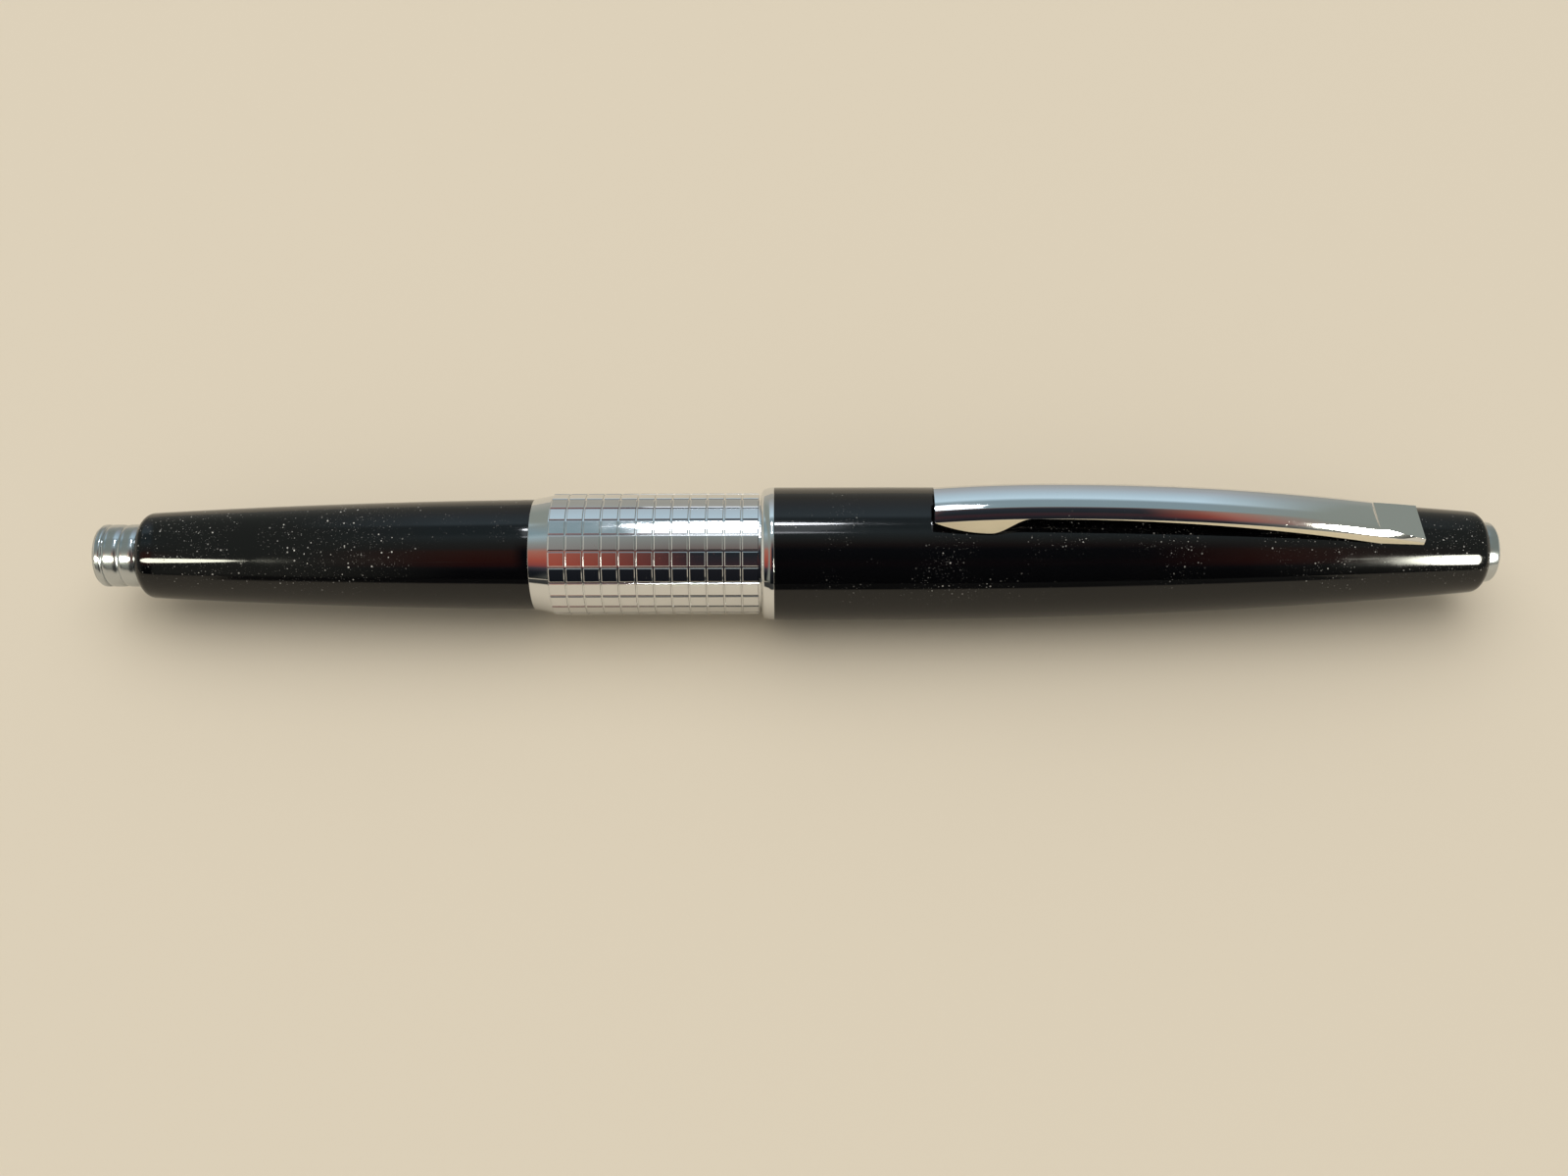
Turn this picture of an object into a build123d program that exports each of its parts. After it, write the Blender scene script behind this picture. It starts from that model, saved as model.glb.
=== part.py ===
from build123d import *
import math
import os

# A capped pocket pencil with a push button, built about its own long axis, which runs along X.
# The push button is at the low end, the cap's button at the high end, and the clip is on the +Z side.
# The pencil lies on z = 0 with its cap on, and the origin is under the middle of its length.
# All sizes are in millimetres, and every radius is about the pencil's axis.

# Clearances: pieces pushed together, pieces that slide on each other, and end faces
fit = 0.02
slide = 0.06
end_gap = 0.05
cut = 1.0

# Spring wire is modelled with this many flat sides, and a long bowed outline with this many chords
wire_sides = 4
bow_chords = 4

# Lengths that show from outside, in order from the push button to the cap's button
button_shows = 3.95
barrel_length = 34.8
collar_length = 1.75
checker_length = 18.3
cap_gap = 0.15
mouth_length = 1.15
shell_length = 62.8
cap_button_shows = 1.1

# Cap: a black shell over a metal liner, with a chrome ring at its mouth
cap_radius = 5.935
cap_straight = 8.7
shell_wall = 0.635
shell_mid_wall = 0.68
shell_end_rounding = 0.75
mouth_flare_length = 0.6
mouth_step = 0.435
mouth_sleeve = 4.9
liner_wall = 0.25
liner_length = 15.0

# Cap button, and the hollow plunger behind it that reaches down to the pencil
cap_button_radius = 2.74
cap_button_depth = 2.6
cap_button_socket = 1.5
cap_button_dish = 0.12
cap_end_lip = 0.77
web_thickness = 2.3
plunger_stem_radius = 2.1
plunger_stem_wall = 0.5
plunger_cup_radius = 3.2
plunger_cup_depth = 1.6
plunger_cup_floor = 1.0
plunger_rim_land = 0.55
plunger_room = 0.25
post_gap = 0.2
guide_length = 3.0
cap_spring_wire = 0.18
cap_spring_turns = 4

# Clip: one pressed strip with a crowned top and turned-down edges, hooked into a slot in the shell
clip_length = 42.75
clip_setback = 6.3
clip_width = 3.9
clip_thickness = 0.5
clip_crown = 4.75
clip_shoulder = 1.05
clip_crest_from_root = 33.0
clip_crest_rise = 2.29
clip_root_rise = 0.685
clip_free_drop = 0.52
clip_edge_depth = 0.86
clip_root_edge_depth = 1.75
clip_lobe_length = 8.2
clip_lobe_low = 0.6
clip_lobe_gap = 0.15
clip_facet_length = 4.15
clip_facet_slope = 0.3
clip_facet_start_depth = 0.3
clip_facet_end_depth = 0.495
clip_facet_start_width = 3.0
clip_facet_end_width = 3.7
clip_seat_gap = 0.04
tongue_from_root = 2.35
tongue_width = 2.0
hook_length = 1.25
hook_gap = 0.3
hook_thickness = 0.45
slot_margin = 0.2

# Checkered band, a metal tube that joins the rear barrel to the neck
band_radius = 5.42
band_wall = 0.97
collar_rear_radius = 4.95
collar_front_radius = 5.3
cells_along = 12
cells_around = 24
ring_groove_width = 0.42
ring_groove_depth = 0.14
long_groove_width = 0.26
long_groove_depth = 0.12
row_turn = -3

# Rear barrel
barrel_front_radius = 4.91
barrel_swell = 0.205
barrel_lip = 0.91
barrel_rounding = 0.85
barrel_bore = 3.0
guide_bore_length = 7.0
barrel_tenon = 8.0

# Push button, with the eraser under it
button_radius = 2.78
button_length = 9.5
button_wall = 0.3
button_end_wall = 0.6
button_bevel = 0.2
button_first_groove = 0.82
button_ridge = 1.45
button_ridge_height = 0.13
eraser_radius = 1.95
eraser_gap = 0.8
holder_cup_depth = 6.0
holder_collar = 0.8
holder_plug = 2.0

# Neck that the cap slides over, with a split ring that holds the cap
neck_shows = 6.2
neck_in_band = 8.0
neck_below_ring = 0.18
neck_wall = 0.93
snap_ring_width = 0.6
snap_ring_height = 0.36
snap_ring_split = 1.0
snap_ring_from_band = 3.2

# Front section, held by its rear thread in the neck
front_step = 0.55
front_tip_radius = 3.3
front_swell = 0.12
front_thread_length = 8.0
front_bore = 2.4
grip_grooves = 7
grip_groove_pitch = 1.25
grip_groove_width = 0.5
grip_groove_depth = 0.12
grip_groove_from_tip = 2.0

# Tip cone, which reaches into the plunger when capped, and the sliding lead sleeve in it
tip_length = 8.2
tip_in_plunger = 2.8
tip_land = 1.0
tip_rear_radius = 3.25
tip_end_radius = 0.9
tip_thread_length = 6.5
tip_thread_wall = 0.38
tip_seat_depth = 2.5
sleeve_radius = 0.45
sleeve_bore = 0.3
sleeve_shows = 2.4
carrier_radius = 1.1
carrier_length = 1.8
carrier_wall = 0.35
carrier_travel = 1.6
retainer_length = 1.1
lead_radius = 0.25
lead_shows = 0.5
lead_length = 56.0
spare_lead_room = 1.1
spare_leads_count = 3

# Feed: chuck, clutch ring, spring and lead tube
feed_travel = 2.2
chuck_stem_radius = 1.1
chuck_head_radius = 1.5
chuck_head_start = 0.3
chuck_cone_length = 1.5
chuck_head_length = 3.0
chuck_in_tube = 2.5
chuck_slit = 0.22
chuck_slit_length = 8.0
chuck_jaws = 3
clutch_radius = 1.95
clutch_length = 2.2
clutch_travel = 0.6
housing_length = 18.5
housing_wall = 0.43
housing_flange = 1.0
chuck_spring_length = 13.0
chuck_spring_wire = 0.15
chuck_spring_turns = 6
tube_radius = 1.75
tube_wall = 0.4

# Stations along X
pen_length = (
    button_shows + barrel_length + collar_length + checker_length
    + cap_gap + mouth_length + shell_length + cap_button_shows
)
x_rear = -pen_length / 2
x_barrel = x_rear + button_shows
x_collar = x_barrel + barrel_length
x_checker = x_collar + collar_length
x_neck = x_checker + checker_length
x_mouth = x_neck + cap_gap
x_shell = x_mouth + mouth_length
x_shell_end = x_shell + shell_length
x_front = x_shell_end + cap_button_shows
x_button_front = x_rear + button_length
x_tube_rear = x_button_front + end_gap + holder_collar
x_plug_end = x_tube_rear + holder_plug
x_section = x_neck + neck_shows
x_plunger = x_mouth + barrel_length + button_shows + post_gap
x_tip_end = x_plunger + tip_in_plunger
x_tip = x_tip_end - tip_length
x_seat = x_tip - tip_seat_depth
x_head_end = x_seat + chuck_head_length
x_tube_front = x_seat - housing_flange - chuck_spring_length
x_carrier = x_head_end + feed_travel + slide + end_gap + carrier_travel
x_sleeve_end = x_tip_end + sleeve_shows
x_web = x_shell_end - cap_button_depth - web_thickness
x_opening = x_shell_end - cap_button_depth
x_cup_floor = x_plunger + plunger_cup_depth
x_cup_rear = x_cup_floor + plunger_cup_floor
x_clip_root = x_shell_end - clip_setback
x_clip_free = x_clip_root - clip_length
x_clip_crest = x_clip_root - clip_crest_from_root
x_facet = x_clip_root - clip_facet_length
x_tongue = x_clip_root - tongue_from_root
x_hook = x_tongue - clip_thickness - hook_length
x_guide_rear = x_hook - hook_gap
x_guide = x_guide_rear - guide_length

# Radii that follow from the ones above
shell_bore = cap_radius - shell_wall
liner_bore = shell_bore - fit - liner_wall
snap_ring_radius = liner_bore - slide
neck_radius = snap_ring_radius - neck_below_ring
neck_bore = neck_radius - neck_wall
band_bore = band_radius - band_wall
front_radius = neck_radius - front_step
guide_bore = button_radius + slide + fit
barrel_rear_radius = guide_bore + barrel_lip
button_bore = button_radius - button_wall
holder_radius = button_bore - fit
tube_bore = tube_radius - tube_wall
tip_thread_radius = front_bore + tip_thread_wall
housing_radius = front_bore - fit
housing_bore = housing_radius - housing_wall
flange_bore = chuck_stem_radius + slide
opening_radius = cap_button_radius + slide
cap_end_radius = opening_radius + cap_end_lip
stem_guide_bore = plunger_stem_radius + slide
rear_bore = plunger_cup_radius + plunger_room
axis_height = cap_radius

# The shell's outside is a straight cylinder that runs into one long curve down to its end
cap_taper_start = x_shell + cap_straight
cap_taper_length = x_shell_end - cap_taper_start
cap_taper_drop = cap_radius - cap_end_radius


def cap_outside(x):
    """Radius of the cap's outside at a station on its taper, which is a parabola."""
    share = (x - cap_taper_start) / cap_taper_length
    return cap_radius - cap_taper_drop * share**2


def bow_radius(length, drop):
    """Radius of a circular bow that falls by a drop over a length from its crest."""
    return (length**2 + drop**2) / (2 * drop)


# The clip's top bows down from its crest to the root and, more tightly, to the free end
clip_crest_z = cap_radius + clip_crest_rise
clip_bow = bow_radius(clip_crest_from_root, clip_crest_z - cap_outside(x_clip_root) - clip_root_rise)
clip_front_bow = bow_radius(clip_length - clip_crest_from_root, clip_free_drop)


def turned(*edges):
    """A body of revolution about the pencil's axis, from the edges of its closed half outline."""
    return revolve(make_face(Curve() + list(edges)), axis=Axis.X)


def turned_polygon(*points):
    return revolve(make_face(Polyline(*points, close=True)), axis=Axis.X)


def bowed_line(start, end, radius_at):
    """A long gentle bow of an outline, turned as a few short cones whose corners a formula gives."""
    stations = [start + (end - start) * i / bow_chords for i in range(bow_chords + 1)]
    return Polyline(*[(x, radius_at(x)) for x in stations])


def swelling(x, start, end, swell):
    """Radius at a station between two points of an outline that bulges by the swell halfway."""
    share = (x - start[0]) / (end[0] - start[0])
    return start[1] + (end[1] - start[1]) * share + swell * 4 * share * (1 - share)


def rod(start, end, radius):
    return Pos(start, 0, 0) * Rot(0, 90, 0) * extrude(Circle(radius), end - start)


def tube(start, end, outer, inner):
    return Pos(start, 0, 0) * Rot(0, 90, 0) * extrude(Circle(outer) - Circle(inner), end - start)


def bored(body, start, end, radius):
    return body - rod(start, end, radius)


def coil_spring(start, end, mean_radius, wire_radius, turns):
    """A compression spring whose wire just fits between two stations."""
    height = end - start - 2 * wire_radius
    path = Helix(height / turns, height, mean_radius, center=(start + wire_radius, 0, 0), direction=(1, 0, 0))
    section = Plane(origin=path @ 0, z_dir=path % 0) * RegularPolygon(wire_radius, wire_sides)
    return sweep(section, path=path, is_frenet=True)


# ---- Rear half: button, eraser and barrel ----


def rear_barrel():
    """Black tapering barrel with a swelling outline, and the tenon that goes into the band."""
    rear = (x_barrel, barrel_rear_radius)
    front = (x_collar, barrel_front_radius)
    tenon_end = x_collar + barrel_tenon
    tenon_radius = band_bore - fit
    body = turned(
        Line((x_barrel, 0), rear),
        bowed_line(x_barrel, x_collar, lambda x: swelling(x, rear, front, barrel_swell)),
        Polyline(front, (x_collar, tenon_radius), (tenon_end, tenon_radius), (tenon_end, 0), (x_barrel, 0)),
    )
    rear_edge = body.edges().filter_by(GeomType.CIRCLE).sort_by(Axis.X)[0]
    body = fillet(rear_edge, barrel_rounding)
    body = bored(body, x_barrel - cut, x_barrel + guide_bore_length, guide_bore)
    return bored(body, x_barrel + guide_bore_length, tenon_end + cut, barrel_bore)


def push_button():
    """Drawn metal cap with three rounded ridges, which slides in the barrel's rear opening."""
    groove_radius = button_radius - button_ridge_height
    shoulder = (x_rear + button_bevel, groove_radius)
    ridge_ends = [x_rear + button_first_groove + i * button_ridge for i in range(3)]
    outline = [Polyline((x_button_front, 0), (x_rear, 0), (x_rear, groove_radius - button_bevel), shoulder)]
    for ridge_end in ridge_ends:
        crest = ((shoulder[0] + ridge_end) / 2, button_radius)
        outline.append(ThreePointArc(shoulder, crest, (ridge_end, groove_radius)))
        shoulder = (ridge_end, groove_radius)
    skirt = (shoulder[0] + button_ridge_height, button_radius)
    outline.append(Polyline(shoulder, skirt, (x_button_front, button_radius), (x_button_front, 0)))
    return bored(turned(*outline), x_rear + button_end_wall, x_button_front + cut, button_bore)


def eraser():
    """Small round eraser under the push button."""
    body = rod(x_rear + button_end_wall + eraser_gap, x_button_front, eraser_radius)
    return chamfer(body.edges().filter_by(GeomType.CIRCLE).sort_by(Axis.X)[0], eraser_radius / 6)


def eraser_holder():
    """Cup that holds the eraser, with a collar for the button and a plug that closes the lead tube."""
    cup_rear = x_button_front - holder_cup_depth
    collar_start = x_button_front + end_gap
    body = turned_polygon(
        (cup_rear, 0),
        (cup_rear, holder_radius),
        (collar_start, holder_radius),
        (collar_start, button_radius),
        (x_tube_rear, button_radius),
        (x_tube_rear, tube_bore - fit),
        (x_plug_end, tube_bore - fit),
        (x_plug_end, 0),
    )
    return bored(body, cup_rear - cut, x_button_front, eraser_radius + fit)


def lead_tube():
    """Plastic tube that holds the spare leads and pushes the chuck."""
    return tube(x_tube_rear, x_tube_front, tube_radius, tube_bore)


# ---- Middle: checkered band, neck and its split ring ----


def many_sided(points, sides):
    """A body with flat sides all round, from an outline of stations and distances to the flats."""
    half = math.pi / sides
    turns = [half + 2 * half * i for i in range(sides)]
    rings = []
    for x, flat_radius in points:
        corner = flat_radius / math.cos(half)
        rings.append([(x, corner * math.sin(turn), corner * math.cos(turn)) for turn in turns])
    faces = [make_face(Polyline(*ring, close=True)).face() for ring in (rings[0], rings[-1])]
    for near, far in zip(rings, rings[1:]):
        for i in range(sides):
            corners = (near[i - 1], near[i], far[i], far[i - 1])
            faces.append(make_face(Polyline(*corners, close=True)).face())
    return Solid(Shell(faces))


def centre_band():
    """Metal tube with a smooth conical collar and raised square cells in rows along and around it."""
    bevel = ring_groove_width / 2
    groove_floor = band_radius - ring_groove_depth
    pitch = checker_length / cells_along
    outline = []
    for i in range(cells_along):
        start = x_checker + i * pitch
        outline += [(start, groove_floor), (start + bevel, band_radius), (start + pitch - bevel, band_radius)]
    cells = many_sided([*outline, (x_neck, groove_floor)], cells_around)
    groove = Plane.YZ * Polygon(
        (0, band_radius - long_groove_depth),
        (long_groove_width, band_radius + long_groove_depth),
        (-long_groove_width, band_radius + long_groove_depth),
        align=None,
    )
    cutter = Pos(x_checker - cut, 0, 0) * extrude(groove, checker_length + 2 * cut)
    step = 360 / cells_around
    cells -= [Rot((i + 0.5) * step, 0, 0) * cutter for i in range(cells_around)]
    collar = turned_polygon(
        (x_collar, 0),
        (x_collar, collar_rear_radius),
        (x_checker, collar_front_radius),
        (x_checker, 0),
    )
    return bored(Rot(row_turn, 0, 0) * cells + collar, x_collar - cut, x_neck + cut, band_bore)


def neck():
    """Plated bush fixed in the band, which the cap slides over and the front section screws into."""
    ring_start = x_neck + snap_ring_from_band - snap_ring_width / 2
    groove_floor = snap_ring_radius - snap_ring_height - fit
    inner = x_neck - neck_in_band
    body = turned_polygon(
        (inner, barrel_bore),
        (inner, band_bore - fit),
        (x_neck, band_bore - fit),
        (x_neck, neck_radius),
        (ring_start - end_gap, neck_radius),
        (ring_start - end_gap, groove_floor),
        (ring_start + snap_ring_width + end_gap, groove_floor),
        (ring_start + snap_ring_width + end_gap, neck_radius),
        (x_section, neck_radius),
        (x_section, neck_bore),
        (x_section - front_thread_length - end_gap, neck_bore),
        (x_section - front_thread_length - end_gap, barrel_bore),
    )
    return body


def snap_ring():
    """Split wire ring in the neck's groove, which the cap's liner rubs on."""
    start = x_neck + snap_ring_from_band - snap_ring_width / 2
    body = tube(start, start + snap_ring_width, snap_ring_radius, snap_ring_radius - snap_ring_height)
    hanging = (Align.CENTER, Align.CENTER, Align.MAX)
    gap = Box(4 * snap_ring_width, snap_ring_split, 2 * snap_ring_radius, align=hanging)
    return body - Pos(start, 0, 0) * gap


# ---- Front half: section, tip and sleeve ----


def grip_outside(x):
    return swelling(x, (x_section, front_radius), (x_tip, front_tip_radius), front_swell)


def front_section():
    """Black grip with fine ring grooves near the tip, and a threaded end in the neck."""
    thread_start = x_section - front_thread_length
    thread_radius = neck_bore - fit
    body = turned(
        Polyline((x_tip, 0), (thread_start, 0), (thread_start, thread_radius), (x_section, thread_radius)),
        Line((x_section, thread_radius), (x_section, front_radius)),
        bowed_line(x_section, x_tip, grip_outside),
        Line((x_tip, front_tip_radius), (x_tip, 0)),
    )
    for i in range(grip_grooves):
        middle_x = x_tip - grip_groove_from_tip - i * grip_groove_pitch
        surface = grip_outside(middle_x)
        body -= turned_polygon(
            (middle_x, surface - grip_groove_depth),
            (middle_x - grip_groove_width, surface + grip_groove_depth),
            (middle_x + grip_groove_width, surface + grip_groove_depth),
        )
    body = bored(body, thread_start - cut, x_tip + cut, front_bore)
    return bored(body, x_tip - tip_thread_length - end_gap, x_tip + cut, tip_thread_radius + fit)


def mechanism_housing():
    """Tube in the front section with an inner flange that the spring and the clutch ring press on."""
    rear = x_seat - housing_length
    body = tube(rear, x_seat, housing_radius, flange_bore)
    return bored(body, rear - cut, x_seat - housing_flange, housing_bore)


def tip_cone():
    """Metal cone screwed into the front section, bored in steps for the clutch, chuck and sleeve."""
    rear = x_tip - tip_thread_length
    clutch_end = x_seat + end_gap + clutch_length + clutch_travel + 2 * end_gap
    chuck_end = x_carrier - carrier_travel - end_gap
    carrier_end = x_carrier + carrier_length + end_gap
    body = turned_polygon(
        (rear, 0),
        (rear, tip_thread_radius),
        (x_tip, tip_thread_radius),
        (x_tip, tip_rear_radius),
        (x_tip + tip_land, tip_rear_radius),
        (x_tip_end, tip_end_radius),
        (x_tip_end, 0),
    )
    body = bored(body, rear - cut, x_seat, front_bore)
    body = bored(body, x_seat - cut, clutch_end, clutch_radius + slide)
    body = bored(body, x_seat, chuck_end, chuck_head_radius + carrier_wall)
    body = bored(body, x_seat, carrier_end, carrier_radius + slide)
    return bored(body, x_seat, x_tip_end + cut, sleeve_radius + slide)


def sleeve_carrier():
    """Brass slide in the tip cone that holds the lead sleeve and its rubber."""
    front = x_carrier + carrier_length
    body = tube(x_carrier, front, carrier_radius, sleeve_radius + fit)
    return bored(body, x_carrier - cut, x_carrier + retainer_length, carrier_radius - carrier_wall)


def lead_retainer():
    """Rubber ring in the carrier that holds the lead between clicks."""
    end = x_carrier + retainer_length - end_gap
    return tube(x_carrier, end, carrier_radius - carrier_wall - fit, lead_radius + slide)


def lead_sleeve():
    """Thin steel tube that carries the lead to the paper."""
    return tube(x_carrier + retainer_length, x_sleeve_end, sleeve_radius, sleeve_bore)


# ---- Feed ----


def chuck_head_points(extra):
    """Outline of the chuck's head, wider by a named gap where the clutch ring goes round it."""
    start = x_seat + chuck_head_start
    return [
        (start, chuck_stem_radius + extra),
        (start + chuck_cone_length, chuck_head_radius + extra),
    ]


def chuck():
    """Brass collet with three jaws that close on the lead when its head is drawn into the ring."""
    stem_rear = x_tube_front - chuck_in_tube
    body = turned_polygon(
        (stem_rear, 0),
        (stem_rear, tube_bore - fit),
        (x_tube_front, tube_bore - fit),
        (x_tube_front, chuck_stem_radius),
        *chuck_head_points(0),
        (x_head_end, chuck_head_radius),
        (x_head_end, 0),
    )
    body = bored(body, stem_rear - cut, x_head_end - chuck_slit_length, 2 * lead_radius + slide)
    body = bored(body, stem_rear, x_head_end + cut, lead_radius + fit)
    slit_start = x_head_end - chuck_slit_length + cut
    slit = Pos(slit_start, 0, 0) * Box(
        chuck_slit_length,
        chuck_slit,
        2 * chuck_head_radius,
        align=(Align.MIN, Align.CENTER, Align.MIN),
    )
    return body - [Rot(i * 360 / chuck_jaws, 0, 0) * slit for i in range(chuck_jaws)]


def clutch_ring():
    """Brass ring that wedges the jaws shut until it meets its stop in the tip cone."""
    start = x_seat + end_gap
    end = start + clutch_length
    entry, mouth = chuck_head_points(slide)
    return turned_polygon(
        (start, entry[1]),
        (start, clutch_radius),
        (end, clutch_radius),
        (end, mouth[1]),
        mouth,
        entry,
    )


def chuck_spring():
    """Spring between the housing's flange and the front of the lead tube."""
    mean_radius = (housing_bore + chuck_stem_radius) / 2
    start = x_tube_front + end_gap
    end = x_seat - housing_flange - end_gap
    return coil_spring(start, end, mean_radius, chuck_spring_wire, chuck_spring_turns)


def writing_lead():
    return rod(x_sleeve_end + lead_shows - lead_length, x_sleeve_end + lead_shows, lead_radius)


def spare_leads():
    """Spare leads side by side on the floor of the lead tube, as long as it has room for."""
    lie_radius = tube_bore - lead_radius - fit
    step = math.degrees(2 * math.asin((lead_radius + fit) / lie_radius))
    end = x_tube_front - chuck_in_tube - end_gap
    one = Pos(0, 0, -lie_radius) * rod(x_plug_end + spare_lead_room, end, lead_radius)
    middle = (spare_leads_count - 1) / 2
    return Compound([Rot((i - middle) * step, 0, 0) * one for i in range(spare_leads_count)])


# ---- Cap ----


def cap_form(extra=0.0):
    """The shell's outside form, wider by a gap where the clip's underside is cut to it."""
    start = (x_shell, cap_radius + extra)
    bend = (cap_taper_start, cap_radius + extra)
    return turned(
        Polyline((x_shell_end, 0), (x_shell, 0), start, bend),
        bowed_line(cap_taper_start, x_shell_end, lambda x: cap_outside(x) + extra),
        Line((x_shell_end, cap_end_radius + extra), (x_shell_end, 0)),
    )


def cap_shell():
    """Black moulded cap, bored in steps, with a slot in its top for the clip's hook."""
    body = cap_form()
    end_edge = body.edges().filter_by(GeomType.CIRCLE).sort_by(Axis.X)[-1]
    body = fillet(end_edge, shell_end_rounding)
    x_step = x_plunger - 2 * slide - web_thickness
    mid_bore = cap_outside(x_step) - shell_mid_wall
    liner_end = x_mouth + mouth_length + mouth_sleeve + liner_length + 2 * end_gap
    body = bored(body, x_shell - cut, liner_end, shell_bore)
    body = bored(body, x_shell, x_step, mid_bore)
    body = bored(body, x_shell, x_web, rear_bore)
    body = bored(body, x_shell, x_shell_end, stem_guide_bore)
    body = bored(body, x_opening, x_shell_end + cut, opening_radius)
    slot_length = clip_thickness + hook_length + 2 * slot_margin
    slot = Box(
        slot_length,
        tongue_width + 2 * slot_margin,
        cap_radius,
        align=(Align.MAX, Align.CENTER, Align.MIN),
    )
    return body - Pos(x_tongue + slot_margin, 0, 0) * slot


def cap_mouth_ring():
    """Chrome ring at the cap's mouth, with a sleeve that lines the start of the shell."""
    return turned_polygon(
        (x_mouth, liner_bore),
        (x_mouth, cap_radius - mouth_step),
        (x_mouth + mouth_flare_length, cap_radius),
        (x_shell, cap_radius),
        (x_shell, shell_bore - fit),
        (x_shell + mouth_sleeve, shell_bore - fit),
        (x_shell + mouth_sleeve, liner_bore),
    )


def cap_liner():
    """Metal sleeve behind the mouth ring."""
    start = x_shell + mouth_sleeve + end_gap
    return tube(start, start + liner_length, shell_bore - fit, liner_bore)


def plunger_guide():
    """Bush fixed in the shell that guides the plunger and takes the spring's thrust."""
    return tube(x_guide, x_guide_rear, rear_bore - fit, stem_guide_bore)


def cap_spring():
    """Light spring that draws the cap's button in."""
    mean_radius = (plunger_stem_radius + plunger_cup_radius) / 2
    start = x_cup_rear + end_gap
    return coil_spring(start, x_guide - end_gap, mean_radius, cap_spring_wire, cap_spring_turns)


def cap_plunger():
    """Hollow plunger whose cup takes the tip, and whose rim meets the push button on a posted cap."""
    stem_end = x_opening + end_gap + cap_button_socket
    body = turned_polygon(
        (x_plunger, button_radius - plunger_rim_land),
        (x_plunger, plunger_cup_radius),
        (x_cup_rear, plunger_cup_radius),
        (x_cup_rear, plunger_stem_radius),
        (stem_end, plunger_stem_radius),
        (stem_end, plunger_stem_radius - plunger_stem_wall),
        (x_cup_floor, plunger_stem_radius - plunger_stem_wall),
        (x_cup_floor, button_radius - plunger_rim_land),
    )
    return body


def cap_button():
    """Chrome button in the cap's end, pressed on the plunger, with a shallow dish in its face."""
    start = x_opening + end_gap
    body = rod(start, x_front, cap_button_radius)
    rim_edge = body.edges().filter_by(GeomType.CIRCLE).sort_by(Axis.X)[-1]
    body = chamfer(rim_edge, cap_button_dish)
    body = bored(body, x_front - cap_button_dish, x_front + cut, cap_button_radius - 5 * cap_button_dish)
    return bored(body, start - cut, start + cap_button_socket + end_gap, plunger_stem_radius + fit)


def clip_top(x):
    """Height of the crest line of the clip's top, behind its highest point."""
    return clip_crest_z - clip_bow + math.sqrt(clip_bow**2 - (x - x_clip_crest) ** 2)


def clip_section(inset):
    """Cross-section of the strip: a crowned top that rolls over on each side into a straight wall."""
    lean = math.asin((clip_width / 2 - clip_shoulder) / (clip_crown - clip_shoulder))
    crown = clip_crown - inset
    shoulder = clip_shoulder - inset
    half = clip_width / 2 - inset
    hip = (clip_crown - clip_shoulder) * math.cos(lean) - clip_crown
    bend = (lean + math.pi / 2) / 2
    rolled = (half - shoulder + shoulder * math.sin(bend), hip + shoulder * math.cos(bend))
    seam = (crown * math.sin(lean), crown * math.cos(lean) - clip_crown)
    crowned = (crown * math.sin(lean / 2), crown * math.cos(lean / 2) - clip_crown)
    outline = Curve() + [
        Polyline((0, -inset), (0, -cap_radius), (half, -cap_radius), (half, hip)),
        ThreePointArc((half, hip), rolled, seam),
        ThreePointArc(seam, crowned, (0, -inset)),
    ]
    side = Plane.YZ * make_face(outline)
    return Pos(x_clip_crest, 0, clip_crest_z) * (side + mirror(side, about=Plane.XZ))


def clip_strip(inset, x_end):
    """The strip bent along both bows of its top, or the hollow under it at an inset."""
    front_turn = math.degrees(math.asin((x_clip_crest - x_clip_free + cut) / clip_front_bow))
    rear_turn = math.degrees(math.asin((x_end - x_clip_crest) / clip_bow))
    front = Axis((x_clip_crest, 0, clip_crest_z - clip_front_bow), (0, -1, 0))
    rear = Axis((x_clip_crest, 0, clip_crest_z - clip_bow), (0, 1, 0))
    section = clip_section(inset)
    front_part = revolve(section, axis=front, revolution_arc=front_turn)
    return front_part + revolve(section, axis=rear, revolution_arc=rear_turn)


def clip_trim():
    """Side view that trims the strip: a round lobe at the free end, then a shallow bow to the root."""
    free_z = clip_crest_z - clip_free_drop
    root_z = clip_top(x_clip_root)
    above = clip_crest_z + cut
    shell_z = math.sqrt(cap_outside(x_clip_free + clip_lobe_length) ** 2 - (clip_width / 2) ** 2)
    corner = (x_clip_free, free_z - clip_edge_depth)
    lobe_low = (x_clip_free + clip_lobe_length * clip_lobe_low, shell_z + clip_lobe_gap)
    lobe_end = (x_clip_free + clip_lobe_length, clip_crest_z - clip_edge_depth)
    root_low = (x_clip_root, root_z - clip_root_edge_depth)
    outline = Curve() + [
        Spline(corner, lobe_low, tangents=[(1, -0.45), (1, 0)]),
        Spline(lobe_low, lobe_end, tangents=[(1, 0), (1, 0.1)]),
        TangentArc(lobe_end, root_low, tangent=(1, 0)),
        Polyline(root_low, (x_clip_root, above), (x_clip_free, above), corner),
    ]
    return extrude(Plane.XZ * make_face(outline), clip_width, both=True)


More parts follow.
